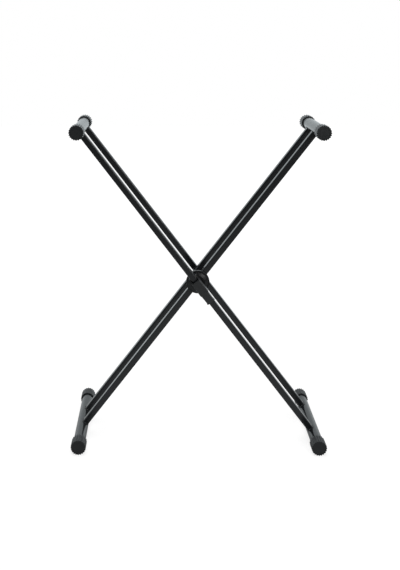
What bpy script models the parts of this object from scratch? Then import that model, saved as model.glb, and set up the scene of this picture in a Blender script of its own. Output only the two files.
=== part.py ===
"""X-style keyboard stand: two crossed leg frames that fold about a clutch with a squeeze lever.

Metres, +Z up. The lever side faces -Y, and the origin is on the floor at the middle of the base.
Each frame is modelled upright about its own pivot empty, and the empty leans it into the X:
in a frame's own axes Z runs up the legs, Y is the depth of the stand and X is square to both.
"""

import math

import bmesh
import bpy
from mathutils import Matrix

# Stance
SPREAD = 0.635  # between the bar axes, across the stand, at the floor and at the top
RISE = 0.832  # from the base bar axes up to the top bar axes
TOP_LENGTH = 0.261  # top bar over its end caps
BASE_LENGTH = 0.320  # base bar over its end caps
GAP = 0.0003  # between two pieces that touch

# Bars and end caps
BAR_RADIUS = 0.0159
BAR_WALL = 0.0015
CAP_LENGTH = 0.0345
CAP_SKIN = 0.0023  # from the cap's socket out to the rib roots
CAP_END = 0.005
CAP_EDGE = 0.0011  # chamfer round both ends of a cap
CAP_DISH_RADIUS = 0.0145
CAP_DISH_DEPTH = 0.0006
RIB_COUNT = 20
RIB_DEPTH = 0.0016
RIB_LAND = 0.0024  # flat on top of a rib
RIB_ROOT = 0.0020  # floor of the groove between two ribs

# Legs
LEG_WIDTH = 0.017
LEG_DEPTH = 0.017
LEG_WALL = 0.0015
LEG_CORNER = 0.003
INNER_LEG_Y = 0.0385  # centre of the stand to the centre of an inner leg

# Clutch between the two front legs
INNER_DISC_RADIUS = 0.0318
INNER_DISC_THICK = 0.006
OUTER_DISC_RADIUS = 0.027
OUTER_DISC_THICK = 0.006
OUTER_DISC_RIM = 0.0025  # height of the straight rim behind the bevel
OUTER_DISC_BOSS = 0.0195  # radius where the bevel meets the flat front
DISC_EDGE = 0.0008
PAD_BORE = 0.010
PAD_RADIUS = 0.024
PAD_THICK = 0.001

# Clutch bolt, its nut and washer, and the spring round it
BOLT_RADIUS = 0.003
BOLT_HEAD_RADIUS = 0.006
BOLT_HEAD_THICK = 0.002
BOLT_HEAD_CROWN = 0.0042  # radius of the flat on the head
BOLT_HEAD_RIM = 0.0008  # height of the head's straight edge
BOLT_POINT = 0.00075  # chamfer at the bolt's end
BOLT_TIP = 0.002  # thread showing past the nut
BOLT_PLAY = 0.0004  # on both sides of the bolt in the slot of the lever's web
NUT_FLATS = 0.010
NUT_THICK = 0.006
WASHER_RADIUS = 0.008
WASHER_THICK = 0.0015
SPRING_WIRE = 0.0012
SPRING_PLAY = 0.0004
SPRING_TURNS = 5

# Squeeze lever
LEVER_TRAVEL = math.radians(4.5)
LEVER_ARM = 0.020  # from the lever's pin down to the clutch axis
LEVER_SHEET = 0.0015
EAR_RADIUS = 0.006
EAR_TURN = math.radians(135)  # how far the ear's round end runs
WEB_ABOVE = 0.012  # web's upper edge over the clutch axis
WEB_BELOW = 0.030  # web's lower edge under the clutch axis
FLANGE_LAP = 0.004  # how far the channel's sides reach along the leg's sides at the lower end
PIN_RADIUS = 0.002
PIN_HEAD_RADIUS = 0.0034
PIN_HEAD_THICK = 0.001
SPACER_RADIUS = 0.004
SPACER_THICK = 0.0008
GRIP_BELOW = 0.057  # grip's end under the clutch axis
GRIP_WALL = 0.0015
GRIP_HALF_TOP = 0.0129
GRIP_HALF_END = 0.0118
GRIP_BULGE = 0.0004
GRIP_CORNER = 0.003
GRIP_LAP = 0.003  # how far the grip's sides reach along the leg's sides at its end
GRIP_SIDE_PLAY = 0.0012

# Rear pivot
REAR_BOLT_RADIUS = 0.004
REAR_HEAD_FLATS = 0.013
REAR_HEAD_THICK = 0.0053
REAR_NUT_THICK = 0.0065
REAR_WASHER_RADIUS = 0.0082
REAR_SPACER_RADIUS = 0.010

# Facets on round pieces
BAR_SEGMENTS = 32
SOCKET_SEGMENTS = 24
DISC_SEGMENTS = 40
SMALL_SEGMENTS = 20
CORNER_SEGMENTS = 3
EAR_SEGMENTS = 6
SPRING_STEPS = 10  # points on each turn of the spring
GRIP_STATIONS = 7
OVERSHOOT = 0.002  # how far a cutter runs past what it cuts
SHARP_ANGLE = math.radians(35)  # edges steeper than this stay crisp

# Worked out from the sizes above
LEAN = math.atan2(SPREAD, RISE)
HALF_LEG = math.hypot(SPREAD, RISE) / 2
CAP_RADIUS = BAR_RADIUS + GAP + CAP_SKIN + RIB_DEPTH
PIVOT_HEIGHT = CAP_RADIUS + RISE / 2
CLUTCH_SPACE = INNER_DISC_THICK + PAD_THICK + OUTER_DISC_THICK + 4 * GAP
OUTER_LEG_Y = INNER_LEG_Y + LEG_DEPTH + CLUTCH_SPACE
INNER_FACE = INNER_LEG_Y + LEG_DEPTH / 2  # side of an inner leg that faces its outer leg
OUTER_FACE = OUTER_LEG_Y - LEG_DEPTH / 2  # side of an outer leg that faces its inner leg
LEG_FRONT = -OUTER_LEG_Y - LEG_DEPTH / 2
EAR_INNER = LEG_WIDTH / 2 + SPACER_THICK + 2 * GAP
EAR_OUTER = EAR_INNER + LEVER_SHEET
WEB_INNER = LEG_FRONT - (LEVER_ARM + WEB_BELOW) * math.sin(LEVER_TRAVEL) - GAP
WEB_FRONT = WEB_INNER - LEVER_SHEET
HEAD_PLAY = BOLT_HEAD_RADIUS * math.sin(LEVER_TRAVEL) + GAP
HEAD_REAR = WEB_FRONT - HEAD_PLAY
HEAD_FRONT = HEAD_REAR - BOLT_HEAD_THICK
GRIP_FRONT = HEAD_FRONT - HEAD_PLAY - GRIP_WALL
FRONT_DROP = (HEAD_PLAY - HEAD_FRONT - OUTER_LEG_Y) * math.sin(LEVER_TRAVEL)
SPRING_RADIUS = BOLT_RADIUS + SPRING_PLAY + SPRING_WIRE / 2

BLACK_STEEL = ("black_powder_coat", (0.012, 0.012, 0.014), 0.42, 0.2)
DARK_RUBBER = ("dark_rubber", (0.035, 0.037, 0.040), 0.75, 0.0)
DARK_PLASTIC = ("dark_plastic", (0.022, 0.022, 0.024), 0.55, 0.0)
BLACK_ZINC = ("black_zinc", (0.03, 0.03, 0.032), 0.38, 0.9)
BRIGHT_STEEL = ("bright_steel", (0.45, 0.45, 0.46), 0.3, 1.0)
PAD_LINING = ("pad_lining", (0.10, 0.075, 0.055), 0.9, 0.0)
NYLON = ("natural_nylon", (0.55, 0.54, 0.50), 0.5, 0.0)


def clear_scene():
    for item in list(bpy.data.objects):
        bpy.data.objects.remove(item, do_unlink=True)


def material(finish):
    name, colour, roughness, metallic = finish
    made = bpy.data.materials.get(name)
    if made:
        return made
    made = bpy.data.materials.new(name)
    made.use_nodes = True
    shader = made.node_tree.nodes["Principled BSDF"]
    shader.inputs["Base Color"].default_value = (*colour, 1.0)
    shader.inputs["Roughness"].default_value = roughness
    shader.inputs["Metallic"].default_value = metallic
    return made


def mesh_from(name, bm):
    bmesh.ops.recalc_face_normals(bm, faces=bm.faces[:])
    mesh = bpy.data.meshes.new(name)
    bm.to_mesh(mesh)
    bm.free()
    mesh.shade_smooth()
    mesh.set_sharp_from_angle(angle=SHARP_ANGLE)
    return mesh


def place(name, data, parent, location=(0, 0, 0), rotation=(0, 0, 0)):
    item = bpy.data.objects.new(name, data)
    bpy.context.scene.collection.objects.link(item)
    item.parent = parent
    item.location = location
    item.rotation_euler = rotation
    return item


def piece(name, bm, finish, parent, location=(0, 0, 0)):
    mesh = mesh_from(name, bm)
    mesh.materials.append(material(finish))
    return place(name, mesh, parent, location)


def cut(target, bm, parent, location=(0, 0, 0)):
    """Take the shape in bm away from target, which keeps it as a live Boolean."""
    count = len(target.modifiers)
    cutter = place(f"{target.name}_cutter_{count}", mesh_from("cutter", bm), parent, location)
    cutter.hide_render = True
    cutter.display_type = "WIRE"
    modifier = target.modifiers.new("cut", "BOOLEAN")
    modifier.operation = "DIFFERENCE"
    modifier.solver = "EXACT"
    modifier.object = cutter


def cut_mesh(target):
    """The target's mesh with its cuts made, for copies that share it."""
    bpy.context.view_layer.update()
    graph = bpy.context.evaluated_depsgraph_get()
    mesh = bpy.data.meshes.new_from_object(target.evaluated_get(graph))
    mesh.shade_smooth()
    mesh.set_sharp_from_angle(angle=SHARP_ANGLE)
    return mesh


def ring_of(bm, points):
    return [bm.verts.new(point) for point in points]


def loft(rings, closed=False):
    """Skin between rings of equal count; the ends are filled unless the rings close on themselves."""
    bm = bmesh.new()
    loops = [ring_of(bm, ring) for ring in rings]
    pairs = list(zip(loops, loops[1:]))
    if closed:
        pairs.append((loops[-1], loops[0]))
    for low, high in pairs:
        for i, vertex in enumerate(low):
            j = (i + 1) % len(low)
            bm.faces.new((vertex, low[j], high[j], high[i]))
    if not closed:
        bm.faces.new(loops[0])
        bm.faces.new(loops[-1])
    return bm


def turned(profile, segments, closed=False):
    """Turn (radius, y) points about the Y axis, flats to the axes; a closed profile leaves a bore."""
    rings = []
    for radius, y in profile:
        angles = [math.tau * (i + 0.5) / segments for i in range(segments)]
        rings.append([(radius * math.cos(a), y, radius * math.sin(a)) for a in angles])
    return loft(rings, closed=closed)


def rod(radius, y_from, y_to, segments=SMALL_SEGMENTS):
    return turned([(radius, y_from), (radius, y_to)], segments)


def cross_rod(radius, half_length):
    """A round bar along X, centred on the origin."""
    return along_x(rod(radius, -half_length, half_length))


def along_x(bm):
    """Turn a shape's Y axis onto the X axis."""
    bmesh.ops.rotate(bm, verts=bm.verts[:], cent=(0, 0, 0), matrix=Matrix.Rotation(-math.pi / 2, 3, "Z"))
    return bm


def washer(bore, radius, y_from, thick, segments=SMALL_SEGMENTS):
    section = [(bore, y_from), (radius, y_from), (radius, y_from + thick), (bore, y_from + thick)]
    return turned(section, segments, closed=True)


def box(low, high):
    rings = [[(low[0], low[1], z), (high[0], low[1], z), (high[0], high[1], z), (low[0], high[1], z)]
             for z in (low[2], high[2])]
    return loft(rings)


def extruded(outline, half_width):
    """A (y, z) outline drawn out along X to both sides."""
    return loft([[(x, y, z) for y, z in outline] for x in (-half_width, half_width)])


def arc(centre, radius, start, stop, steps):
    """Points round an arc in the plane of centre, angles in radians."""
    angles = [start + (stop - start) * i / steps for i in range(steps + 1)]
    return [(centre[0] + radius * math.cos(a), centre[1] + radius * math.sin(a)) for a in angles]


def rounded_rectangle(width, depth, corner):
    points = []
    for k, (sx, sy) in enumerate(((1, 1), (-1, 1), (-1, -1), (1, -1))):
        centre = (sx * (width / 2 - corner), sy * (depth / 2 - corner))
        points += arc(centre, corner, k * math.pi / 2, (k + 1) * math.pi / 2, CORNER_SEGMENTS)
    return points


def hexagon(flats, y_from, y_to):
    corner = flats / math.sqrt(3)
    return turned([(corner, y_from), (corner, y_to)], 6)


def frame_empty(name, lean):
    empty = place(name, None, None, (0, 0, PIVOT_HEIGHT), (0, lean, 0))
    empty["lean"] = lean
    return empty


def bar_tube(name, frame, z, length):
    """A round tube across the stand, short of the floors of its two end caps."""
    half = length / 2 - CAP_END - GAP
    section = [(BAR_RADIUS - BAR_WALL, -half), (BAR_RADIUS, -half), (BAR_RADIUS, half), (BAR_RADIUS - BAR_WALL, half)]
    return piece(name, turned(section, BAR_SEGMENTS, closed=True), BLACK_STEEL, frame, (0, 0, z))


def cap_outline(inset):
    """The ribbed outline of an end cap, with one rib's flat facing each of +X, -X, +Z and -Z."""
    points = []
    for k in range(RIB_COUNT):
        rib = math.tau * k / RIB_COUNT
        groove = rib + math.pi / RIB_COUNT
        for angle, reach, half in ((rib, CAP_RADIUS, RIB_LAND / 2), (groove, CAP_RADIUS - RIB_DEPTH, RIB_ROOT / 2)):
            for side in (-half, half):
                radius = reach - inset
                x = radius * math.cos(angle) - side * math.sin(angle)
                z = radius * math.sin(angle) + side * math.cos(angle)
                points.append((x, z))
    return points


def cap_mesh():
    """An end cap along Y: its closed face at y = 0 looks to -Y, and its socket opens to +Y."""
    stations = ((0, CAP_EDGE), (CAP_EDGE, 0), (CAP_LENGTH - CAP_EDGE, 0), (CAP_LENGTH, CAP_EDGE))
    rings = [[(x, y, z) for x, z in cap_outline(inset)] for y, inset in stations]
    pattern = piece("cap_pattern", loft(rings), DARK_RUBBER, None)
    cut(pattern, rod(BAR_RADIUS + GAP, CAP_END, CAP_LENGTH + OVERSHOOT, SOCKET_SEGMENTS), None)
    cut(pattern, rod(CAP_DISH_RADIUS, -OVERSHOOT, CAP_DISH_DEPTH, SOCKET_SEGMENTS), None)
    mesh = cut_mesh(pattern)
    for item in list(bpy.data.objects):
        if item.name.startswith("cap_pattern"):
            bpy.data.objects.remove(item, do_unlink=True)
    return mesh


def end_caps(name, frame, z, length, mesh):
    """Front and rear caps of one bar, turned so that a rib of each faces straight down."""
    lean = frame["lean"]
    place(f"{name}_cap_front", mesh, frame, (0, -length / 2, z), (0, -lean, 0))
    place(f"{name}_cap_rear", mesh, frame, (0, length / 2, z), (0, lean, math.pi))


def leg_tube(name, frame, y):
    """A rectangular tube from bar to bar, with its ends coped to sit round them."""
    inner_corner = max(LEG_CORNER - LEG_WALL, LEG_CORNER / 4)
    outer = rounded_rectangle(LEG_WIDTH, LEG_DEPTH, LEG_CORNER)
    inner = rounded_rectangle(LEG_WIDTH - 2 * LEG_WALL, LEG_DEPTH - 2 * LEG_WALL, inner_corner)
    rings = [[(px, py, z) for px, py in outline]
             for outline, z in ((outer, -HALF_LEG), (outer, HALF_LEG), (inner, HALF_LEG), (inner, -HALF_LEG))]
    leg = piece(name, loft(rings, closed=True), BLACK_STEEL, frame, (0, y, 0))
    for end in (-HALF_LEG, HALF_LEG):
        cope = rod(BAR_RADIUS + GAP, -LEG_DEPTH, LEG_DEPTH, BAR_SEGMENTS)
        cut(leg, cope, frame, (0, y, end))
    return leg


def drill(leg, frame, y, radius, z=0.0, near=-LEG_DEPTH, far=LEG_DEPTH):
    """A round hole along Y through the leg's walls between near and far, measured from its centre."""
    cut(leg, rod(radius, near, far), frame, (0, y, z))


def leg_frame(name, frame, leg_y, caps, top, base):
    """The pieces that both frames have: two bars, their caps and two legs."""
    bar_tube(f"{top}_top_bar", frame, HALF_LEG, TOP_LENGTH)
    end_caps(f"{top}_top", frame, HALF_LEG, TOP_LENGTH, caps)
    bar_tube(f"{base}_base_bar", frame, -HALF_LEG, BASE_LENGTH)
    end_caps(f"{base}_base", frame, -HALF_LEG, BASE_LENGTH, caps)
    front = leg_tube(f"{name}_leg_front", frame, -leg_y)
    rear = leg_tube(f"{name}_leg_rear", frame, leg_y)
    drill(rear, frame, leg_y, REAR_BOLT_RADIUS + GAP)
    return front


def outer_clutch_disc(frame):
    """The lever-side disc: a flat boss against the leg, a bevel and a low rim."""
    front = -OUTER_FACE + GAP
    back = front + OUTER_DISC_THICK
    rim = back - OUTER_DISC_RIM
    bore = BOLT_RADIUS + GAP
    section = [
        (bore, front),
        (OUTER_DISC_BOSS, front),
        (OUTER_DISC_RADIUS - DISC_EDGE, rim - DISC_EDGE),
        (OUTER_DISC_RADIUS, rim),
        (OUTER_DISC_RADIUS, back - DISC_EDGE),
        (OUTER_DISC_RADIUS - DISC_EDGE, back),
        (bore, back),
    ]
    piece("outer_clutch_disc", turned(section, DISC_SEGMENTS, closed=True), BLACK_ZINC, frame)


def inner_clutch_disc(frame):
    """The plain disc on the inner front leg."""
    back = -INNER_FACE - GAP
    front = back - INNER_DISC_THICK
    bore = BOLT_RADIUS + GAP
    section = [
        (bore, front),
        (INNER_DISC_RADIUS - DISC_EDGE, front),
        (INNER_DISC_RADIUS, front + DISC_EDGE),
        (INNER_DISC_RADIUS, back - DISC_EDGE),
        (INNER_DISC_RADIUS - DISC_EDGE, back),
        (bore, back),
    ]
    piece("inner_clutch_disc", turned(section, DISC_SEGMENTS, closed=True), BLACK_ZINC, frame)
    lining = washer(PAD_BORE, PAD_RADIUS, front - GAP - PAD_THICK, PAD_THICK, DISC_SEGMENTS)
    piece("clutch_pad", lining, PAD_LINING, frame)


def clutch_bolt(slider):
    """The bolt through both front legs, with its nut and washer behind the inner one."""
    seat = -INNER_FACE + LEG_DEPTH + GAP
    nut_from = seat + WASHER_THICK + GAP
    tip = nut_from + NUT_THICK + BOLT_TIP
    section = [
        (BOLT_HEAD_CROWN, HEAD_FRONT),
        (BOLT_HEAD_RADIUS, HEAD_REAR - BOLT_HEAD_RIM),
        (BOLT_HEAD_RADIUS, HEAD_REAR),
        (BOLT_RADIUS, HEAD_REAR),
        (BOLT_RADIUS, tip - BOLT_POINT),
        (BOLT_RADIUS - BOLT_POINT, tip),
    ]
    piece("clutch_bolt", turned(section, SMALL_SEGMENTS), BLACK_ZINC, slider)
    piece("clutch_washer", washer(BOLT_RADIUS + GAP, WASHER_RADIUS, seat, WASHER_THICK), BLACK_ZINC, slider)
    nut = piece("clutch_nut", hexagon(NUT_FLATS, nut_from, nut_from + NUT_THICK), BLACK_ZINC, slider)
    cut(nut, rod(BOLT_RADIUS + GAP, nut_from - OVERSHOOT, nut_from + NUT_THICK + OVERSHOOT), slider)


def clutch_spring(frame):
    """A coil round the bolt, from the leg's rear wall out through its front wall to the lever's web."""
    seat = -OUTER_FACE - LEG_WALL
    start = seat - GAP - SPRING_WIRE / 2
    end = WEB_INNER + GAP + SPRING_WIRE / 2
    count = SPRING_TURNS * SPRING_STEPS
    curve = bpy.data.curves.new("clutch_spring", "CURVE")
    curve.dimensions = "3D"
    curve.bevel_depth = SPRING_WIRE / 2
    curve.bevel_resolution = 1
    curve.use_fill_caps = True
    spline = curve.splines.new("POLY")
    spline.points.add(count)
    for i, point in enumerate(spline.points):
        angle = math.tau * i / SPRING_STEPS
        y = start + (end - start) * i / count
        point.co = (SPRING_RADIUS * math.cos(angle), y, SPRING_RADIUS * math.sin(angle), 1)
    curve.materials.append(material(BRIGHT_STEEL))
    place("clutch_spring", curve, frame)
    pitch = (start - end) / SPRING_TURNS
    print(f"clutch_spring: least gap between turns {1000 * (pitch - SPRING_WIRE):.2f} mm")


def lever_frame(lever):
    """The steel channel of the lever: a web over the leg's front and an ear on each side of the leg."""
    pin = (-OUTER_LEG_Y, LEVER_ARM)
    lap = LEG_FRONT + FLANGE_LAP
    ear = arc(pin, EAR_RADIUS, 0, EAR_TURN, EAR_SEGMENTS)
    outline = ear + [(WEB_FRONT, WEB_ABOVE), (WEB_FRONT, -WEB_BELOW), (lap, -WEB_BELOW)]
    channel = piece("lever_frame", lever_shape(extruded(outline, EAR_OUTER)), BLACK_STEEL, lever)
    far = WEB_FRONT - OVERSHOOT
    back = -OUTER_LEG_Y + EAR_RADIUS + OVERSHOOT
    low = -WEB_BELOW - OVERSHOOT
    high = LEVER_ARM + EAR_RADIUS + OVERSHOOT
    hollow = [(WEB_INNER, low), (WEB_INNER, WEB_ABOVE), (far, WEB_ABOVE), (far, high), (back, high), (back, low)]
    cut(channel, lever_shape(extruded(hollow, EAR_INNER)), lever)
    cut(channel, cross_rod(PIN_RADIUS + GAP, EAR_OUTER + OVERSHOOT), lever)
    cut(channel, lever_shape(slot(BOLT_RADIUS + BOLT_PLAY, far, WEB_INNER + OVERSHOOT)), lever)


def lever_shape(bm):
    """Shift a shape from the frame's axes to the lever's, whose origin is the pin."""
    bmesh.ops.translate(bm, verts=bm.verts[:], vec=(0, OUTER_LEG_Y, -LEVER_ARM))
    return bm


def slot(radius, y_from, y_to):
    """A hole along Y that leaves the bolt room above it, because the lever's front drops when squeezed."""
    steps = SMALL_SEGMENTS // 2
    outline = arc((0, FRONT_DROP), radius, 0, math.pi, steps) + arc((0, 0), radius, math.pi, math.tau, steps)
    return loft([[(x, y, z) for x, z in outline] for y in (y_from, y_to)])


def grip_half_width(share):
    """Half the grip's width from its top (share 0) to its end (share 1)."""
    taper = GRIP_HALF_TOP + (GRIP_HALF_END - GRIP_HALF_TOP) * share**2
    return taper + GRIP_BULGE * math.sin(math.pi * share) ** 2


def grip_section(share):
    """The grip's outline across the lever: rounded in front and open to the leg behind."""
    half = grip_half_width(share)
    deep = -OUTER_LEG_Y - (LEG_DEPTH / 2 - GRIP_LAP) * share
    right = arc((half - GRIP_CORNER, GRIP_FRONT + GRIP_CORNER), GRIP_CORNER, 0, -math.pi / 2, CORNER_SEGMENTS)
    left = [(-x, y) for x, y in reversed(right)]
    z = WEB_ABOVE - (WEB_ABOVE + GRIP_BELOW) * share
    return [(x, y, z) for x, y in [(half, deep), *right, *left, (-half, deep)]]


def lever_grip(lever):
    """The moulded grip that covers the channel and runs on past its end."""
    sections = [grip_section(i / (GRIP_STATIONS - 1)) for i in range(GRIP_STATIONS)]
    grip = piece("lever_grip", lever_shape(loft(sections)), DARK_PLASTIC, lever)
    back = -OUTER_LEG_Y + OVERSHOOT
    top = WEB_ABOVE + OVERSHOOT
    step = -WEB_BELOW - GAP
    half = EAR_OUTER + GAP
    seat = box((-half, WEB_FRONT - GAP, step), (half, back, top))
    cut(grip, lever_shape(seat), lever)
    reach = LEG_FRONT - (LEVER_ARM + GRIP_BELOW) * math.sin(LEVER_TRAVEL) - GAP
    half = LEG_WIDTH / 2 + GRIP_SIDE_PLAY
    tail = box((-half, reach, -GRIP_BELOW - OVERSHOOT), (half, back, step + OVERSHOOT))
    cut(grip, lever_shape(tail), lever)
    pocket = slot(BOLT_HEAD_RADIUS + HEAD_PLAY, HEAD_FRONT - HEAD_PLAY, WEB_FRONT)
    cut(grip, lever_shape(pocket), lever)


def lever_pin(frame):
    """The rivet that the lever turns on, and the spacers between its ears and the leg."""
    head = EAR_OUTER + GAP
    section = [
        (PIN_HEAD_RADIUS, -head - PIN_HEAD_THICK),
        (PIN_HEAD_RADIUS, -head),
        (PIN_RADIUS, -head),
        (PIN_RADIUS, head),
        (PIN_HEAD_RADIUS, head),
        (PIN_HEAD_RADIUS, head + PIN_HEAD_THICK),
    ]
    place_at = (0, -OUTER_LEG_Y, LEVER_ARM)
    piece("lever_pin", along_x(turned(section, SMALL_SEGMENTS)), BLACK_ZINC, frame, place_at)
    near = LEG_WIDTH / 2 + GAP
    for side, start in (("right", near), ("left", -near - SPACER_THICK)):
        ring = washer(PIN_RADIUS + GAP, SPACER_RADIUS, start, SPACER_THICK)
        piece(f"lever_spacer_{side}", along_x(ring), NYLON, frame, place_at)


def rear_pivot(frame):
    """Bolt, nut, washers and spacer tube that join the two rear legs."""
    outside = OUTER_FACE + LEG_DEPTH
    inside = INNER_FACE - LEG_DEPTH
    head_from = outside + WASHER_THICK + 2 * GAP
    nut_to = inside - WASHER_THICK - 2 * GAP
    tip = nut_to - REAR_NUT_THICK - BOLT_TIP
    shank = rod(REAR_BOLT_RADIUS, tip, head_from + REAR_HEAD_THICK / 2)
    bolt = piece("rear_pivot_bolt", hexagon(REAR_HEAD_FLATS, head_from, head_from + REAR_HEAD_THICK), BLACK_ZINC, frame)
    join(bolt, shank, frame)
    nut = piece("rear_pivot_nut", hexagon(REAR_HEAD_FLATS, nut_to - REAR_NUT_THICK, nut_to), BLACK_ZINC, frame)
    bore = REAR_BOLT_RADIUS + GAP
    cut(nut, rod(bore, nut_to - REAR_NUT_THICK - OVERSHOOT, nut_to + OVERSHOOT), frame)
    for end, start in (("head", outside + GAP), ("nut", inside - GAP - WASHER_THICK)):
        ring = washer(bore, REAR_WASHER_RADIUS, start, WASHER_THICK)
        piece(f"rear_{end}_washer", ring, BLACK_ZINC, frame)
    length = OUTER_FACE - INNER_FACE - 2 * GAP
    piece("rear_spacer", washer(bore, REAR_SPACER_RADIUS, INNER_FACE + GAP, length), BLACK_STEEL, frame)


def join(target, bm, parent):
    """Fuse the shape in bm with target."""
    other = place(f"{target.name}_part", mesh_from("part", bm), parent)
    other.hide_render = True
    other.display_type = "WIRE"
    modifier = target.modifiers.new("join", "BOOLEAN")
    modifier.operation = "UNION"
    modifier.solver = "EXACT"
    modifier.object = other


def outer_frame(caps):
    """The frame that leans from top left to lower right, which carries the lever."""
    frame = frame_empty("outer_frame", -LEAN)
    front = leg_frame("outer", frame, OUTER_LEG_Y, caps, "left", "right")
    spring_hole = SPRING_RADIUS + SPRING_WIRE / 2 + SPRING_PLAY
    drill(front, frame, -OUTER_LEG_Y, spring_hole, near=-LEG_DEPTH, far=0)
    drill(front, frame, -OUTER_LEG_Y, BOLT_RADIUS + GAP, near=0, far=LEG_DEPTH)
    cut(front, cross_rod(PIN_RADIUS + GAP, LEG_WIDTH), frame, (0, -OUTER_LEG_Y, LEVER_ARM))
    outer_clutch_disc(frame)
    clutch_spring(frame)
    lever_pin(frame)
    rear_pivot(frame)
    lever = place("lever_axis", None, frame, (0, -OUTER_LEG_Y, LEVER_ARM))
    lever_frame(lever)
    lever_grip(lever)
    clutch_bolt(place("bolt_axis", None, frame))


def inner_frame(caps):
    """The frame that leans from top right to lower left, between the outer legs."""
    frame = frame_empty("inner_frame", LEAN)
    front = leg_frame("inner", frame, INNER_LEG_Y, caps, "right", "left")
    drill(front, frame, -INNER_LEG_Y, BOLT_RADIUS + GAP)
    inner_clutch_disc(frame)


clear_scene()
shared_cap = cap_mesh()
outer_frame(shared_cap)
inner_frame(shared_cap)
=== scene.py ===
# %% [markdown]
# # Dressing an X-style keyboard stand
#
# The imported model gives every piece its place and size. This lesson keeps that frame as it is and
# lays finished surfaces over it: rounded tubes with weld beads, ribbed rubber caps, the clutch with
# its squeeze lever, and the coats, grains and platings that the real stand has.
# Lengths are in metres, +Z is up, and the lever side faces -Y.

import math

import bpy
from mathutils import Matrix, Vector


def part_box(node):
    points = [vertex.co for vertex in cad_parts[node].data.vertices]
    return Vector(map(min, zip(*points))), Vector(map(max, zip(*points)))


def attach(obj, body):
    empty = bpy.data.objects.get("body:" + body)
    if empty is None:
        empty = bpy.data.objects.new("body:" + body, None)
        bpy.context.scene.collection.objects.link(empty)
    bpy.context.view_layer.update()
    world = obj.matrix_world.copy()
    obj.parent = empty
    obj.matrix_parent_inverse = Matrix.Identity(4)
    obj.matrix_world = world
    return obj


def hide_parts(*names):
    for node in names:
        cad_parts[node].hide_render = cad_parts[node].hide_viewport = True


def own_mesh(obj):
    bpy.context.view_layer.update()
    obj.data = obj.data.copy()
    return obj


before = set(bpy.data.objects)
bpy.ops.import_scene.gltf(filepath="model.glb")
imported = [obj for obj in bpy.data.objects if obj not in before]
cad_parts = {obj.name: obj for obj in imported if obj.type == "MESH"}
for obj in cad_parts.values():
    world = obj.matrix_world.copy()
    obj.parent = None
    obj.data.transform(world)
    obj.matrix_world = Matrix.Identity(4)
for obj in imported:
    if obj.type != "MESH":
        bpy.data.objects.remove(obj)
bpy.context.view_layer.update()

# %% [markdown]
# ## The camera
#
# The picture is a tall crop out of a wider view: its vanishing point lies left of the middle and far
# above it. A camera that is turned towards the stand would make the legs converge. A shifted lens
# keeps them as they are, so the camera looks almost level and its frame is moved down instead.

# %% Camera
PICTURE_HEIGHT = 570  # pixels
FOCAL_PIXELS = 819.8
CENTRE_LEFT = 45.0  # the lens axis meets the picture this many pixels left of its middle
CENTRE_UP = 167.5  # and this many above it
CAMERA_PLACE = (-0.1009, -2.2099, 1.1203)
CAMERA_YAW = -0.0069  # to the right, in radians
CAMERA_PITCH = -0.1092  # up, in radians
QUARTER_TURN = math.pi / 2

lens = bpy.data.cameras.new("photo_camera")
lens.lens = FOCAL_PIXELS / PICTURE_HEIGHT * lens.sensor_width
lens.shift_x = CENTRE_LEFT / PICTURE_HEIGHT
lens.shift_y = -CENTRE_UP / PICTURE_HEIGHT
camera = bpy.data.objects.new("photo_camera", lens)
bpy.context.scene.collection.objects.link(camera)
camera.location = CAMERA_PLACE
camera.rotation_euler = (QUARTER_TURN + CAMERA_PITCH, 0, -CAMERA_YAW)
bpy.context.scene.camera = camera
bpy.context.scene.view_settings.view_transform = "Standard"
print("lens:", round(lens.lens, 2), "mm")

# %% [markdown]
# ## Shader maths that reads like maths
#
# A material is a graph of nodes, and a long row of Math nodes is hard to read. Signal wraps a socket,
# so that adding or multiplying two of them adds the Math node. A colour goes through a Mix node
# instead, because a Math node would turn it grey.


# %% Signal
class Signal:
    """The output of a node, which can be added, multiplied and so on."""

    def __init__(self, socket):
        self.socket = socket

    def __add__(self, other):
        return maths("ADD", self, other)

    def __sub__(self, other):
        return maths("SUBTRACT", self, other)

    def __rsub__(self, other):
        return maths("SUBTRACT", other, self)

    def __mul__(self, other):
        return maths("MULTIPLY", self, other)

    __radd__ = __add__
    __rmul__ = __mul__


def add_node(tree, kind, settings, values):
    """A node with its settings first, then the numbers or Signals that go into its sockets."""
    node = tree.nodes.new(kind)
    for name, value in settings.items():
        setattr(node, name, value)
    for name, value in values.items():
        if isinstance(value, Signal):
            tree.links.new(value.socket, node.inputs[name])
        else:
            node.inputs[name].default_value = value
    return node


def maths(operation, first, second):
    tree = (first if isinstance(first, Signal) else second).socket.id_data
    node = add_node(tree, "ShaderNodeMath", {"operation": operation}, {0: first, 1: second})
    return Signal(node.outputs[0])


MIX_FIRST, MIX_SECOND, MIX_RESULT = 6, 7, 2  # where a Mix node keeps its colour sockets


def mixed_colour(tree, share, first, second):
    """A colour between two others, from a share of 0 to 1."""
    values = {"Factor": share, MIX_FIRST: (*first, 1), MIX_SECOND: (*second, 1)}
    node = add_node(tree, "ShaderNodeMix", {"data_type": "RGBA"}, values)
    return Signal(node.outputs[MIX_RESULT])


print("signals ready")

# %% [markdown]
# Finish starts a material with a Principled shader. Its method node adds any other node, and the rest
# are short names for what nearly every finish uses: noise, a stretch of its range, and a bump. Noise
# reads Object coordinates, so a pattern has its real size and stays on the piece when a joint moves.


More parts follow.
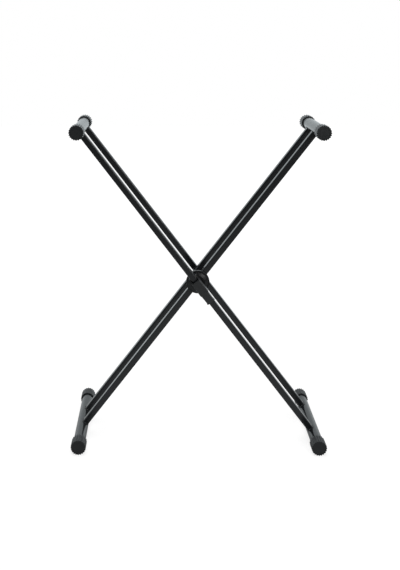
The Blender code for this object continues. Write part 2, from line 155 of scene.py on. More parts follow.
# %% Finish
class Finish:
    """A material with a Principled shader."""

    def __init__(self, name, metallic=0.0, specular=0.5):
        self.material = bpy.data.materials.new(name)
        self.material.use_nodes = True
        self.tree = self.material.node_tree
        self.shader = self.tree.nodes["Principled BSDF"]
        self.feed("Metallic", metallic)
        self.feed("Specular IOR Level", specular)
        self.place = self.node("ShaderNodeTexCoord", {}, {}, "Object")

    def node(self, kind, settings, values, output=0):
        return Signal(add_node(self.tree, kind, settings, values).outputs[output])

    def noise(self, size, detail):
        """Cloudy noise from 0 to 1, with lumps of about that size in metres."""
        values = {"Vector": self.place, "Scale": 1 / size, "Detail": detail}
        return self.node("ShaderNodeTexNoise", {}, values)

    def between(self, signal, low, high):
        """The signal stretched so that low becomes 0 and high becomes 1."""
        values = {"Value": signal, "From Min": low, "From Max": high}
        return self.node("ShaderNodeMapRange", {"clamp": True}, values)

    def mixed(self, share, dark, light):
        return mixed_colour(self.tree, share, dark, light)

    def feed(self, name, value):
        if isinstance(value, Signal):
            self.tree.links.new(value.socket, self.shader.inputs[name])
        else:
            self.shader.inputs[name].default_value = value

    def bump(self, height, depth, strength):
        """Tilt the surface by a height signal, where depth is what 1 stands for in metres."""
        values = {"Height": height, "Distance": depth, "Strength": strength}
        self.feed("Normal", self.node("ShaderNodeBump", {}, values))


print("finish ready")

# %% [markdown]
# ## A pale studio
#
# The stand is black, so what shapes it is what it mirrors. Behind, beside and under it is a white
# sweep, and on the camera's side the room is dark. So its fronts stay black, while its tops and sides
# are grey, and each rounded corner shades from one to the other.
# Everything in the room has one brightness for the camera, one for a gloss and one for matt surfaces.
# To the camera it is white. In a gloss it is slightly cool, as the grey of the coat shows. Matt
# surfaces get the same soft grey from planes and world.

# %% The room
WHITE = 1
AMBIENT = 0.36  # what the room throws on matt surfaces
DARK_ROOM = 0.04  # what a gloss sees of the room
COOL = (0.90, 0.975, 1.0)


def seen_as(tree, to_camera, to_gloss, to_matt):
    """One of three brightnesses, by the kind of ray that arrives, and cool in a gloss."""
    path = add_node(tree, "ShaderNodeLightPath", {}, {})
    kinds = ("Is Camera Ray", "Is Transmission Ray", "Is Glossy Ray")
    camera_ray, clear_ray, glossy_ray = (Signal(path.outputs[name]) for name in kinds)
    direct = maths("MAXIMUM", camera_ray, clear_ray)
    level = (to_camera - to_matt) * direct + (to_gloss - to_matt) * glossy_ray + to_matt
    tint = mixed_colour(tree, glossy_ray, (1, 1, 1), COOL)
    product = add_node(tree, "ShaderNodeVectorMath", {"operation": "MULTIPLY"}, {0: tint, 1: level})
    return Signal(product.outputs[0])


world = bpy.data.worlds.new("studio_room")
bpy.context.scene.world = world
world.use_nodes = True
room = world.node_tree.nodes["Background"]
room_light = seen_as(world.node_tree, WHITE, DARK_ROOM, AMBIENT)
world.node_tree.links.new(room_light.socket, room.inputs["Color"])
print("room set")

# %% [markdown]
# The sweep is four plain planes, a floor and three walls. The floor takes the stand's shadow, so near
# the stand it glows a little less and leaves the rest to the lamps. In a gloss it is white behind the
# stand and grey under it, and it ends a step in front, where the dark half of the room begins.

# %% Floor and walls
FLOOR_SIZE = 30
FLOOR_COLOUR = (0.30, 0.30, 0.30, 1)
FLOOR_GLOW = 0.80  # near the stand, where the lamps add the rest
FLOOR_IN_GLOSS = 0.25  # under the stand
SHADOW_ZONE = (1.0, 3.0)  # the floor glows less up to the first distance, and fully from the second
SWEEP_FRONT = (-2.0, -1.1)  # the floor fades out of the gloss between these places
SWEEP_BACK = (0.0, 1.2)  # and brightens to white between these
WALL_SIZE = 14
WALL_AWAY = 7  # how far behind or beside the stand a wall is
SIDE_WALL_Y = 4
WALL_MIDDLE = 6.9  # the height of a wall's middle, which puts its foot a little under the floor


def sweep(name, size, place, turn):
    """A plane of white paper, without its glow."""
    bpy.ops.mesh.primitive_plane_add(size=size, location=place, rotation=turn)
    plane = bpy.context.object
    plane.name = name
    paper = Finish(name, specular=0.0)
    paper.feed("Roughness", 1.0)
    paper.feed("Emission Strength", 1.0)
    plane.data.materials.append(paper.material)
    return paper


floor = sweep("studio_floor", FLOOR_SIZE, (0, 0, 0), (0, 0, 0))
floor.feed("Base Color", FLOOR_COLOUR)
distance = floor.node("ShaderNodeVectorMath", {"operation": "LENGTH"}, {0: floor.place}, "Value")
glow = (WHITE - FLOOR_GLOW) * floor.between(distance, *SHADOW_ZONE) + FLOOR_GLOW
back = floor.node("ShaderNodeSeparateXYZ", {}, {0: floor.place}, "Y")
near = (FLOOR_IN_GLOSS - DARK_ROOM) * floor.between(back, *SWEEP_FRONT) + DARK_ROOM
in_gloss = (WHITE - FLOOR_IN_GLOSS) * floor.between(back, *SWEEP_BACK) + near
floor.feed("Emission Color", seen_as(floor.tree, glow, in_gloss, 0))

for name, x, y, turn in (
    ("studio_backdrop", 0, WALL_AWAY, 0),
    ("studio_left_wall", -WALL_AWAY, SIDE_WALL_Y, QUARTER_TURN),
    ("studio_right_wall", WALL_AWAY, SIDE_WALL_Y, QUARTER_TURN),
):
    wall = sweep(name, WALL_SIZE, (x, y, WALL_MIDDLE), (QUARTER_TURN, 0, turn))
    wall.feed("Base Color", (0, 0, 0, 1))
    wall.feed("Emission Color", seen_as(wall.tree, WHITE, WHITE, AMBIENT))
print("sweep set")

# %% [markdown]
# A wide lamp hangs overhead and lights all that faces up. A smaller one to the front right is weak. It
# lifts the fronts a little, and draws a thin light line along the edges that are turned to it.

# %% Lamps
LAMP_AIM = Vector((0, 0, 0.43))  # the middle of the stand


def lamp(name, place, size, power):
    """A square lamp that faces the middle of the stand."""
    light = bpy.data.lights.new(name, "AREA")
    light.size = size
    light.energy = power
    item = bpy.data.objects.new(name, light)
    bpy.context.scene.collection.objects.link(item)
    item.location = place
    item.rotation_euler = (LAMP_AIM - Vector(place)).to_track_quat("-Z", "Y").to_euler()


lamp("overhead_lamp", place=(-0.2, 0.3, 3.2), size=2.6, power=62)
lamp("front_lamp", place=(1.45, -2.62, 1.43), size=1.3, power=19)
print("lamps set")

# %% [markdown]
# ## Where the frame puts things
#
# Each leg frame is modelled upright round the pivot, where its edges run along the axes, and is leaned
# into the X at the end. The pivot, the lean and the reach of the legs come from the model's own boxes.


# %% Places from the frame
def middle(node):
    low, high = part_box(node)
    return (Vector(low) + Vector(high)) / 2


def over_caps(cap):
    """The length of a bar over its caps, from the box of its front cap."""
    low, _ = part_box(cap)
    return -2 * low[1]


top_bar = middle("left_top_bar")
base_bar = middle("right_base_bar")
PIVOT_HEIGHT = (top_bar.z + base_bar.z) / 2
HALF_LEG = (top_bar - base_bar).length / 2
LEAN = math.atan2(base_bar.x - top_bar.x, top_bar.z - base_bar.z)
LEAN_OF = {"outer_frame": -LEAN, "inner_frame": LEAN, "squeeze_lever": -LEAN, "clutch_bolt": -LEAN}
LENGTH = {"top": over_caps("left_top_cap_front"), "base": over_caps("left_base_cap_front")}
OUTER_LEG_Y = -middle("outer_leg_front").y
INNER_LEG_Y = -middle("inner_leg_front").y
GAP = 0.0003  # between two pieces that touch
print("lean:", round(math.degrees(LEAN), 2), "degrees")
print("legs:", round(2 * HALF_LEG, 4), "m, bars:", LENGTH)

# %% [markdown]
# ## Tools for modelling
#
# Each new piece starts as a primitive and is shaped in edit mode. Operators act on what is selected,
# so everything else is deselected first, and edges are picked in code, by where they are.

# %% Selecting and moving
CLOSE = 1e-5  # points nearer than this are one point


def pick(piece):
    """Select this piece and nothing else, out of edit mode."""
    if bpy.context.mode != "OBJECT":
        bpy.ops.object.mode_set(mode="OBJECT")
    bpy.ops.object.select_all(action="DESELECT")
    piece.select_set(True)
    bpy.context.view_layer.objects.active = piece


def fix_place(piece):
    """Write the object's place, turn and scale into its mesh."""
    pick(piece)
    bpy.ops.object.transform_apply(location=True, rotation=True, scale=True)
    return piece


def moved(piece, step=(0, 0, 0), angle=0.0, axis="Y"):
    """Turn a piece about an axis through the origin, then shift it."""
    piece.matrix_world = Matrix.Translation(step) @ Matrix.Rotation(angle, 4, axis)
    return fix_place(piece)


def edit_all(piece):
    """Enter edit mode with everything selected."""
    pick(piece)
    bpy.ops.object.mode_set(mode="EDIT")
    bpy.ops.mesh.select_all(action="SELECT")


def choose_edges(piece, test):
    """Enter edit mode with only the edges selected whose two ends pass the test."""
    edit_all(piece)
    bpy.ops.mesh.select_mode(type="EDGE")
    bpy.ops.mesh.select_all(action="DESELECT")
    bpy.ops.object.mode_set(mode="OBJECT")
    for edge in piece.data.edges:
        edge.select = test(*(piece.data.vertices[i].co for i in edge.vertices))
    bpy.ops.object.mode_set(mode="EDIT")


print("selecting ready")

# %% [markdown]
# No edge of a real part is perfectly sharp, and the light on its rounded edges is what makes a small
# part look real. So most pieces get a bevel on every edge that is sharper than an angle. Holes and
# sockets are cut with a second shape.


# %% Cutting and rounding
def carve(piece, cutter):
    """Cut one shape with another, which is used up."""
    pick(piece)
    modifier = piece.modifiers.new("carve", "BOOLEAN")
    modifier.operation = "DIFFERENCE"
    modifier.solver = "EXACT"
    modifier.object = cutter
    bpy.ops.object.modifier_apply(modifier=modifier.name)
    bpy.data.objects.remove(cutter, do_unlink=True)


def soften(piece, radius, segments=3, angle=20):
    """Round every edge that is sharper than the angle, in degrees."""
    pick(piece)
    modifier = piece.modifiers.new("soften", "BEVEL")
    modifier.width = radius
    modifier.segments = segments
    modifier.limit_method = "ANGLE"
    modifier.angle_limit = math.radians(angle)
    bpy.ops.object.modifier_apply(modifier=modifier.name)


print("cutting ready")

# %% [markdown]
# Round pieces are turned as on a lathe: a circle's points are moved onto the section, and it is spun
# about the axis. A cutter for a hole is a plain rod, and a leg starts as a box.

# %% Blanks
SIDES = 96  # of a round piece


def outlined(name, points):
    """A closed loop of edges through these points."""
    bpy.ops.mesh.primitive_circle_add(vertices=len(points), radius=1)
    piece = bpy.context.object
    piece.name = name
    for vertex, point in zip(piece.data.vertices, points):
        vertex.co = point
    return piece


def turned(name, section, edge, sides):
    """Spin a closed section of (radius, y) points about the Y axis, and round its edges."""
    piece = outlined(name, [(radius, y, 0) for radius, y in section])
    edit_all(piece)
    bpy.ops.mesh.spin(steps=sides, angle=math.tau, center=(0, 0, 0), axis=(0, 1, 0))
    bpy.ops.mesh.select_all(action="SELECT")
    bpy.ops.mesh.remove_doubles(threshold=CLOSE)
    bpy.ops.mesh.normals_make_consistent(inside=False)
    soften(piece, edge)
    return piece


def ring(name, bore, radius, y_from, y_to, edge, sides=SIDES):
    """A tube, washer or disc with a hole along Y."""
    section = [(bore, y_from), (radius, y_from), (radius, y_to), (bore, y_to)]
    return turned(name, section, edge, sides)


def rod(name, radius, y_from, y_to, sides=SIDES, at=(0, 0)):
    """A round rod along Y, with its centre at this x and z."""
    bpy.ops.mesh.primitive_cylinder_add(
        vertices=sides,
        radius=radius,
        depth=y_to - y_from,
        location=(at[0], (y_from + y_to) / 2, at[1]),
        rotation=(QUARTER_TURN, 0, 0),
    )
    bpy.context.object.name = name
    return fix_place(bpy.context.object)


def block(name, low, high):
    """A box between two corners."""
    bpy.ops.mesh.primitive_cube_add(size=1)
    piece = bpy.context.object
    piece.name = name
    piece.location = [(a + b) / 2 for a, b in zip(low, high)]
    piece.scale = [b - a for a, b in zip(low, high)]
    return fix_place(piece)


print("blanks ready")

# %% [markdown]
# Every piece ends in the same way. It is leaned into the X, shaded smooth except at its sharp edges,
# and given its material and the body that it moves with, and the model nodes that it stands for are
# hidden.


# %% Finishing a piece
def finish_piece(piece, finish, body, replaced, smoothing=30):
    """Lean an upright piece into the X, give it its shading, material and body, and hide the nodes it
    replaces.
    """
    moved(piece, (0, 0, PIVOT_HEIGHT), LEAN_OF[body], "Y")
    bpy.ops.object.shade_smooth_by_angle(angle=math.radians(smoothing))
    modifier = piece.modifiers.new("weighted", "WEIGHTED_NORMAL")
    modifier.keep_sharp = True
    bpy.ops.object.modifier_apply(modifier=modifier.name)
    piece.data.materials.clear()
    piece.data.materials.append(finish.material)
    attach(piece, body)
    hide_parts(*replaced)
    print(piece.name, len(piece.data.polygons), "faces")


print("finishing ready")

# %% [markdown]
# ## Finishes
#
# Powder coat is a baked plastic skin over the legs and bars. It is never quite flat: it has a fine
# orange peel, and its gloss varies a little from place to place. On black that shows only where it
# mirrors the sweep, so nearly all the character of this coat is in its roughness and its bump.

# %% Powder coat
CLOUDS = (0.3, 0.7)  # nearly all of a soft noise lies between these
SPECKS = (0.35, 0.65)  # a narrower stretch leaves more at the ends, so it looks speckled
COAT_CLOUD = 0.035  # the size of a patch
COAT_SPECK = 0.0035
COAT_PEEL = 0.0012
COAT_LIGHTER = 1.35  # the light patches against the dark ones
GRAIN_DEPTH = 0.00003


def powder_coat(name, colour, roughness):
    coat = Finish(name)
    cloud = coat.between(coat.noise(COAT_CLOUD, 3), *CLOUDS)
    peel = coat.noise(COAT_PEEL, 1)
    speck = coat.between(coat.noise(COAT_SPECK, 2), *SPECKS)
    light = tuple(COAT_LIGHTER * channel for channel in colour)
    coat.feed("Base Color", coat.mixed(0.6 * cloud + 0.4 * speck, colour, light))
    coat.feed("Roughness", roughness - 0.03 + 0.04 * cloud + 0.02 * speck)
    coat.bump(peel + 0.3 * speck, GRAIN_DEPTH, 0.12)
    return coat


black_coat = powder_coat("black_powder_coat", (0.0092, 0.0104, 0.0118), 0.20)
print("powder coat ready")

# %% [markdown]
# Rubber scatters light, and mirrors it only at a low angle. The caps are moulded with a fine spark
# texture. The grip is a harder plastic of nearly the same black, and the small spacers are nylon.

# %% Rubber and moulded plastic
MOULD_CLOUD = 0.02
RUBBER_BLACK = (0.024, 0.0260, 0.0276)
RUBBER_WORN = (0.032, 0.0345, 0.0363)
PLASTIC_BLACK = (0.018, 0.0192, 0.0204)
PLASTIC_WORN = (0.028, 0.0294, 0.0310)
NYLON_DARK = (0.50, 0.48, 0.42)
NYLON_LIGHT = (0.60, 0.58, 0.52)


def moulded(name, dark, light, roughness, specular, grain):
    """Matt rubber or plastic with soft clouds and an even fine grain of this size."""
    skin = Finish(name, specular=specular)
    cloud = skin.between(skin.noise(MOULD_CLOUD, 3), *CLOUDS)
    fine = skin.noise(grain, 2)
    skin.feed("Base Color", skin.mixed(0.5 * cloud + 0.5 * fine, dark, light))
    skin.feed("Roughness", roughness + 0.08 * fine)
    skin.bump(fine, GRAIN_DEPTH, 0.5)
    return skin


cap_rubber = moulded("dark_rubber", RUBBER_BLACK, RUBBER_WORN, 0.30, 0.18, grain=0.0011)
grip_plastic = moulded("dark_plastic", PLASTIC_BLACK, PLASTIC_WORN, 0.30, 0.5, grain=0.0007)
nylon = moulded("natural_nylon", NYLON_DARK, NYLON_LIGHT, 0.42, 0.5, grain=0.004)
print("rubber ready")

# %% [markdown]
# Black zinc on the fasteners is thin, so the steel shows through as a dark sheen with lighter clouds.
# The lever's channel has a slightly lighter plating, and the spring a bright one.

# %% Platings
PLATING_CLOUD = 0.006
PLATING_GRAIN = 0.0006


def plated(name, dark, light, roughness):
    zinc = Finish(name, metallic=0.85)
    cloud = zinc.between(zinc.noise(PLATING_CLOUD, 3), *CLOUDS)
    zinc.feed("Base Color", zinc.mixed(cloud, dark, light))
    zinc.feed("Roughness", roughness + 0.12 * cloud)
    zinc.bump(zinc.noise(PLATING_GRAIN, 1), GRAIN_DEPTH, 0.4)
    return zinc


lever_steel = plated("lever_steel", (0.090, 0.094, 0.100), (0.130, 0.134, 0.140), 0.28)
black_zinc = plated("black_zinc", (0.030, 0.031, 0.034), (0.055, 0.054, 0.055), 0.30)
spring_steel = plated("spring_steel", (0.38, 0.385, 0.39), (0.50, 0.50, 0.50), 0.24)
print("platings ready")

# %% [markdown]
# Turned parts carry fine rings round their axis, which a sine of the distance from the clutch axis
# draws. The lining between the discs is pressed from fibres, so it is rough and speckled.

# %% Turned steel and lining
RING_STEP = 0.0009  # from one tool mark to the next
RING_DEPTH = 0.00002
DISC_CLOUD = 0.012
DISC_DARK = (0.0040, 0.0045, 0.0053)
DISC_LIGHT = (0.0075, 0.0080, 0.0090)
FIBRE_SIZE = 0.0012
FIBRE_DEPTH = 0.0001
FIBRE_DARK = (0.020, 0.018, 0.016)
FIBRE_LIGHT = (0.045, 0.040, 0.035)


def turned_black(name):
    """Black steel with tool marks in rings round the clutch axis."""
    steel = Finish(name, specular=0.4)
    flat = {"Vector": steel.place, "Location": (0, 0, -PIVOT_HEIGHT), "Scale": (1, 0, 1)}
    centred = steel.node("ShaderNodeMapping", {}, flat)
    away = steel.node("ShaderNodeVectorMath", {"operation": "LENGTH"}, {0: centred}, "Value")
    rings = maths("SINE", away * (math.tau / RING_STEP), 0.0)
    cloud = steel.between(steel.noise(DISC_CLOUD, 3), *CLOUDS)
    steel.feed("Base Color", steel.mixed(cloud, DISC_DARK, DISC_LIGHT))
    steel.feed("Roughness", 0.30 + 0.06 * cloud + 0.03 * rings)
    steel.bump(rings, RING_DEPTH, 0.35)
    return steel


def friction_lining(name):
    lining = Finish(name, specular=0.2)
    fibre = lining.between(lining.noise(FIBRE_SIZE, 4), *SPECKS)
    lining.feed("Base Color", lining.mixed(fibre, FIBRE_DARK, FIBRE_LIGHT))
    lining.feed("Roughness", 0.85 + 0.1 * fibre)
    lining.bump(fibre, FIBRE_DEPTH, 0.6)
    return lining


disc_steel = turned_black("disc_steel")
lining_mix = friction_lining("pad_lining")
print("turned steel and lining ready")

# %% [markdown]
# ## Bars
#
# All four bars are the same drawn tube, and the base ones are longer. On the real stand a saw cuts them
# and the caps hide their ends. Here the tube's wall is a thin rectangle that is spun about the axis.

# %% Bars
BAR_RADIUS = 0.0159
BAR_WALL = 0.0015
BAR_EDGE = 0.0003
CAP_END = 0.005  # the thickness of a cap's closed end
CORNERS = (("left", "top"), ("right", "top"), ("left", "base"), ("right", "base"))
LEVEL_Z = {"top": HALF_LEG, "base": -HALF_LEG}


def frame_of(side, level):
    """The leg frame that this bar belongs to. The legs cross, so it changes sides on the way down."""
    return "outer_frame" if (side == "left") == (level == "top") else "inner_frame"


for side, level in CORNERS:
    reach = LENGTH[level] / 2 - CAP_END - GAP
    bar = ring(f"{side}_{level}_tube", BAR_RADIUS - BAR_WALL, BAR_RADIUS, -reach, reach, BAR_EDGE)
    moved(bar, (0, 0, LEVEL_Z[level]))
    body = frame_of(side, level)
    finish_piece(bar, black_coat, body, [f"{side}_{level}_bar"])

# %% [markdown]
# ## Legs
#
# Each leg is a square tube with rounded corners. A box gets them from a bevel of its four long edges.
# Its ends are coped: cut with the round of the bar, so that they sit on it before welding. That closes
# them, so the inside never shows and stays solid here. The front legs have a hole for the clutch bolt,
# and the outer one a wider hole that the spring goes into.

# %% Legs
LEG_WIDTH = 0.017
LEG_DEPTH = 0.017
LEG_WALL = 0.0015
LEG_CORNER = 0.003
LEG_CORNER_STEPS = 8
COPE_SIDES = 128
DRILL_SIDES = 48
BOLT_RADIUS = 0.003
REAR_BOLT_RADIUS = 0.004
SPRING_RADIUS = 0.004  # of the coil, to the middle of the wire
SPRING_WIRE = 0.0012
SPRING_PLAY = 0.0004
SPRING_HOLE = SPRING_RADIUS + SPRING_WIRE / 2 + SPRING_PLAY


def leg_blank(name, y):
    corner = Vector((LEG_WIDTH / 2, LEG_DEPTH / 2, HALF_LEG))
    piece = block(name, Vector((0, y, 0)) - corner, Vector((0, y, 0)) + corner)
    choose_edges(piece, lambda a, b: abs(a.z - b.z) > HALF_LEG)
    bpy.ops.mesh.bevel(offset=LEG_CORNER, segments=LEG_CORNER_STEPS, profile=0.5)
    pick(piece)
    for end in (-HALF_LEG, HALF_LEG):
        cope = rod("cope", BAR_RADIUS + GAP, y - LEG_DEPTH, y + LEG_DEPTH, COPE_SIDES, (0, end))
        carve(piece, cope)
    return piece


def drill(piece, radius, y_from, y_to):
    carve(piece, rod("drill", radius, y_from, y_to, DRILL_SIDES))


for side, reach in (("outer", OUTER_LEG_Y), ("inner", INNER_LEG_Y)):
    front = leg_blank(f"{side}_front_tube", -reach)
    drill(front, BOLT_RADIUS + GAP, -reach - LEG_DEPTH, -reach + LEG_DEPTH)
    if side == "outer":
        drill(front, SPRING_HOLE, -reach - LEG_DEPTH, -reach + LEG_DEPTH / 2 - LEG_WALL)
    rear = leg_blank(f"{side}_rear_tube", reach)
    drill(rear, REAR_BOLT_RADIUS + GAP, reach - LEG_DEPTH, reach + LEG_DEPTH)
    for piece, end in ((front, "front"), (rear, "rear")):
        node = f"{side}_leg_{end}"
        finish_piece(piece, black_coat, f"{side}_frame", [node])

# %% [markdown]
# ## Weld beads
#
# Where a leg meets a bar, a bead of weld runs all the way round and is coated over. It is a circle
# whose points are moved onto the seam, and it is drawn out to a round section whose size ripples, as
# the torch stepped along. Each leg has one at its foot and one at its head.

# %% Weld beads
BEAD_RADIUS = 0.0014
BEAD_POINTS = 160
BEAD_RIPPLES = 30
RIPPLE_HEIGHT = 0.16  # as a share of the bead's radius
BEAD_SQUARENESS = 8  # how closely the bead follows the leg's square outline


def seam_point(turn, y, end):
    """A point of the seam at this angle round the leg: on its rounded outline and on the bar."""
    across, deep = math.cos(turn), math.sin(turn)
    shares = abs(across / (LEG_WIDTH / 2)), abs(deep / (LEG_DEPTH / 2))
    reach = sum(share**BEAD_SQUARENESS for share in shares) ** (-1 / BEAD_SQUARENESS)
    x = across * reach
    return Vector((x, y + deep * reach, end * (HALF_LEG - math.sqrt(BAR_RADIUS**2 - x**2))))


def weld_bead(name, y, end):
    points = [seam_point(math.tau * i / BEAD_POINTS, y, end) for i in range(BEAD_POINTS)]
    piece = outlined(name, points)
    pick(piece)
    bpy.ops.object.convert(target="CURVE")
    curve = piece.data
    curve.bevel_depth = BEAD_RADIUS
    curve.bevel_resolution = 3
    for i, point in enumerate(curve.splines[0].points):
        point.radius = 1 + RIPPLE_HEIGHT * math.sin(math.tau * BEAD_RIPPLES * i / BEAD_POINTS)
    bpy.ops.object.convert(target="MESH")
    return piece


for side, reach in (("outer", OUTER_LEG_Y), ("inner", INNER_LEG_Y)):
    for row, y in (("front", -reach), ("rear", reach)):
        for level, end in (("top", 1), ("base", -1)):
            bead = weld_bead(f"{side}_{row}_{level}_weld", y, end)
            finish_piece(bead, black_coat, f"{side}_frame", [])

# %% [markdown]
# ## End caps
#
# A cap is a thick rubber cup with twenty ribs. A cylinder with four points for each rib becomes
# ribbed when each point is moved onto a rib's land or into a groove. Its front is cut to a shallow
# dish, and its back to the socket for the bar.

# %% Ribbed cap
CAP_RADIUS = 0.0201
CAP_LENGTH = 0.0345
CAP_EDGE = 0.0004
RIB_COUNT = 20
RIB_DEPTH = 0.0016
RIB_LAND = 0.0024  # the width of a rib's flat top
RIB_ROOT = 0.0020  # the width of a groove's floor
DISH_RADIUS = 0.0145
DISH_DEPTH = 0.0006
DISH_EDGE = 0.0002
OVERCUT = 0.002  # how far a cutter sticks out of what it cuts
HALF_STEP = math.tau / (8 * RIB_COUNT)  # half the angle from one point of the outline to the next


def rib_point(co):
    """Move one of a cap's outline points to its place on a rib's land or in a groove."""
    step = round(math.atan2(co.z, co.x) / math.tau * 4 * RIB_COUNT - 0.5)
    rib, corner = divmod(step, 4)
    on_land = corner in (0, 3)
    radius = CAP_RADIUS if on_land else CAP_RADIUS - RIB_DEPTH
    side = (RIB_LAND if on_land else RIB_ROOT) / 2 * (1 if corner in (0, 2) else -1)
    centre = {0: 0, 1: 0.5, 2: 0.5, 3: 1}[corner]
    turn = Matrix.Rotation(-math.tau * (rib + centre) / RIB_COUNT, 3, "Y")
    return turn @ Vector((radius, co.y, side))


def cap_blank():
    piece = rod("cap_blank", CAP_RADIUS, 0, CAP_LENGTH, 4 * RIB_COUNT)
    for vertex in piece.data.vertices:
        vertex.co = rib_point(Matrix.Rotation(HALF_STEP, 3, "Y") @ vertex.co)
    soften(piece, CAP_EDGE, angle=25)
    dish = rod("dish", DISH_RADIUS, -OVERCUT, DISH_DEPTH)
    soften(dish, DISH_EDGE, segments=2)
    carve(piece, dish)
    carve(piece, rod("socket", BAR_RADIUS + GAP, CAP_END, CAP_LENGTH + OVERCUT))
    return piece


blank = cap_blank()
print("cap:", len(blank.data.polygons), "faces")

# %% [markdown]
# One cap is modelled and eight are copied. The lean of each leg frame is taken out again, so that a
# rib faces straight down on the base bars and straight up on the top ones.

# %% Eight caps
for side, level in CORNERS:
    body = frame_of(side, level)
    for end, sign in (("front", -1), ("rear", 1)):
        cap = bpy.data.objects.new(f"{side}_{level}_{end}_cap", blank.data.copy())
        bpy.context.scene.collection.objects.link(cap)
        if sign > 0:
            moved(cap, angle=math.pi, axis="Z")
        moved(cap, (0, sign * LENGTH[level] / 2, LEVEL_Z[level]), -LEAN_OF[body], "Y")
        finish_piece(cap, cap_rubber, body, [f"{side}_{level}_cap_{end}"])
bpy.data.objects.remove(blank, do_unlink=True)

# %% [markdown]
# ## Clutch discs
#
# Two discs are clamped between the front legs. The rear one is plain and wide. The front one has a
# low rim and a bevel up to a flat boss, which catches a crescent of light. Both are turned on a lathe,
# and here too: their sections are spun about the clutch axis.

# %% Clutch discs
INNER_DISC_RADIUS = 0.0318
INNER_DISC_EDGE = 0.0008
OUTER_DISC_RADIUS = 0.027
OUTER_DISC_BOSS = 0.0195
OUTER_DISC_EDGE = 0.0004
RIM_HEIGHT = 0.0025
DISC_SIDES = 160
BOSS_SMOOTHING = 12  # degrees, so little that the edge of the boss stays crisp
BORE = BOLT_RADIUS + GAP

front, back = (corner[1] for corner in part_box("outer_clutch_disc"))
section = [
    (BORE, front),
    (OUTER_DISC_BOSS, front),
    (OUTER_DISC_RADIUS, back - RIM_HEIGHT),
    (OUTER_DISC_RADIUS, back),
    (BORE, back),
]
disc = turned("front_clutch_disc", section, OUTER_DISC_EDGE, DISC_SIDES)
finish_piece(disc, disc_steel, "outer_frame", ["outer_clutch_disc"], BOSS_SMOOTHING)

front, back = (corner[1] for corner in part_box("inner_clutch_disc"))
disc = ring("rear_clutch_disc", BORE, INNER_DISC_RADIUS, front, back, INNER_DISC_EDGE, DISC_SIDES)
finish_piece(disc, disc_steel, "inner_frame", ["inner_clutch_disc"])

# %% [markdown]
# ## Clutch spring
#
# The spring pulls the clutch shut. It is a round wire wound to a coil: a small circle that the Screw
# modifier sweeps round the bolt while it moves along. It rides on the outer frame as one stiff piece,
# though on the real stand the coil gets shorter towards its seat on the leg's rear wall as the lever is
# squeezed.

# %% Clutch spring
SPRING_TURNS = 5
STEPS_PER_TURN = 32
WIRE_POINTS = 10
WIRE_RADIUS = SPRING_WIRE / 2

tip, seat = (corner[1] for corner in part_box("clutch_spring"))
start, end = seat - WIRE_RADIUS, tip + WIRE_RADIUS
angles = [math.tau * i / WIRE_POINTS for i in range(WIRE_POINTS)]
wire = [
    (SPRING_RADIUS + WIRE_RADIUS * math.cos(a), start + WIRE_RADIUS * math.sin(a), 0)
    for a in angles
]
spring = outlined("coil_spring", wire)
pick(spring)
screw = spring.modifiers.new("screw", "SCREW")
screw.axis = "Y"
screw.angle = math.tau * SPRING_TURNS
screw.screw_offset = end - start
screw.steps = screw.render_steps = STEPS_PER_TURN * SPRING_TURNS
bpy.ops.object.modifier_apply(modifier=screw.name)
edit_all(spring)
bpy.ops.mesh.select_mode(type="VERT")
bpy.ops.mesh.select_all(action="DESELECT")
bpy.ops.mesh.select_non_manifold()
bpy.ops.mesh.edge_face_add()
bpy.ops.mesh.select_all(action="SELECT")
bpy.ops.mesh.normals_make_consistent(inside=False)
finish_piece(spring, spring_steel, "outer_frame", ["clutch_spring"])
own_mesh(spring)

# %% [markdown]
# ## Copies from the model
#
# The lever's grip and channel, the bolts, nuts, washers and spacers already have their form in the
# model. A node of the model is never changed, and its mesh is loose triangles. So a copy of each is
# merged into one skin and stood upright, and then it can be shaped like any other piece.

# %% Copies from the model
MERGE_FLAT = 1  # degrees, under which neighbouring faces become one


def upright_copy(node, name, body):
    """A copy of a model node, merged into one skin and standing upright round the pivot."""
    piece = bpy.data.objects.new(name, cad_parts[node].data.copy())
    bpy.context.scene.collection.objects.link(piece)
    edit_all(piece)
    bpy.ops.mesh.remove_doubles(threshold=CLOSE)
    bpy.ops.mesh.dissolve_limited(angle_limit=math.radians(MERGE_FLAT))
    pick(piece)
    stand_up = Matrix.Rotation(-LEAN_OF[body], 4, "Y")
    piece.matrix_world = stand_up @ Matrix.Translation((0, 0, -PIVOT_HEIGHT))
    return fix_place(piece)


print("copies ready")

# %% [markdown]
# ## Grip
#
# The moulded grip is broad where it covers the channel's sides. Under them it has a shoulder and gets
# slimmer, and its end flares out to the thumb again. Four cuts across it give the loops for that, and
# the points of its sides move in or out. Between two loops the step changes evenly.

# %% Grip
# the loops of the shoulder, each a height from the pivot and a step out
SHOULDER = ((-0.0275, 0), (-0.0305, -0.0014), (-0.0515, -0.0011), (-0.0555, 0))
SIDE_FROM = 0.0098  # points farther out than this belong to the grip's sides
SIDE_BACK = -OUTER_LEG_Y - 0.0073  # under the shoulder the sides reach back to here
GRIP_EDGE = 0.0005


def step_at(height):
    """How far the grip's sides step in or out at this height."""
    if height >= SHOULDER[0][0]:
        return 0
    for (high, first), (low, second) in zip(SHOULDER, SHOULDER[1:]):
        if height >= low:
            return first + (second - first) * (high - height) / (high - low)
    return SHOULDER[-1][1]


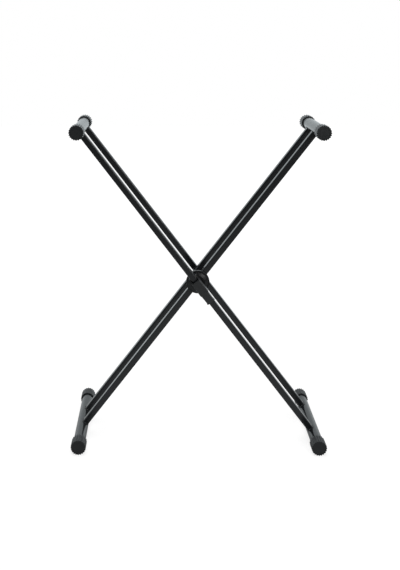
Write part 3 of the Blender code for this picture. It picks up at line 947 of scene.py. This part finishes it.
grip = upright_copy("lever_grip", "grip_cover", "squeeze_lever")
edit_all(grip)
for height, _ in SHOULDER:
    bpy.ops.mesh.select_all(action="SELECT")
    bpy.ops.mesh.bisect(plane_co=(0, 0, height), plane_no=(0, 0, 1))
pick(grip)
for vertex in grip.data.vertices:
    if abs(vertex.co.x) > SIDE_FROM:
        vertex.co.x += math.copysign(1, vertex.co.x) * step_at(vertex.co.z)
    if vertex.co.z < SHOULDER[1][0] + CLOSE:
        vertex.co.y = min(vertex.co.y, SIDE_BACK)
soften(grip, GRIP_EDGE, segments=2, angle=35)
finish_piece(grip, grip_plastic, "squeeze_lever", ["lever_grip"])

# %% [markdown]
# ## The other pieces
#
# The lever's channel, the rivet, the bolts, nuts, washers and spacers need only their edges rounded.
# Each radius is what a press, a lathe or a mould leaves.

# %% Channel and fasteners
for node, name, radius, finish, slot, body in (
    ("lever_frame", "lever_channel", 0.0004, lever_steel, "lever_steel", "squeeze_lever"),
    ("lever_pin", "lever_rivet", 0.0003, black_zinc, "black_zinc", "outer_frame"),
    ("lever_spacer_left", "left_spacer", 0.0002, nylon, "nylon", "outer_frame"),
    ("lever_spacer_right", "right_spacer", 0.0002, nylon, "nylon", "outer_frame"),
    ("clutch_pad", "clutch_lining", 0.0002, lining_mix, "pad_lining", "inner_frame"),
    ("clutch_bolt", "clutch_screw", 0.0003, black_zinc, "black_zinc", "clutch_bolt"),
    ("clutch_nut", "clutch_lock_nut", 0.0004, black_zinc, "black_zinc", "clutch_bolt"),
    ("clutch_washer", "clutch_plain_washer", 0.0002, black_zinc, "black_zinc", "clutch_bolt"),
    ("rear_pivot_bolt", "rear_screw", 0.0004, black_zinc, "black_zinc", "outer_frame"),
    ("rear_pivot_nut", "rear_lock_nut", 0.0004, black_zinc, "black_zinc", "outer_frame"),
    ("rear_head_washer", "rear_outer_washer", 0.0002, black_zinc, "black_zinc", "outer_frame"),
    ("rear_nut_washer", "rear_inner_washer", 0.0002, black_zinc, "black_zinc", "outer_frame"),
    ("rear_spacer", "rear_spacer_tube", 0.0003, black_coat, "black_powder_coat", "outer_frame"),
):
    piece = upright_copy(node, name, body)
    soften(piece, radius, segments=2, angle=40)
    finish_piece(piece, finish, body, [node])
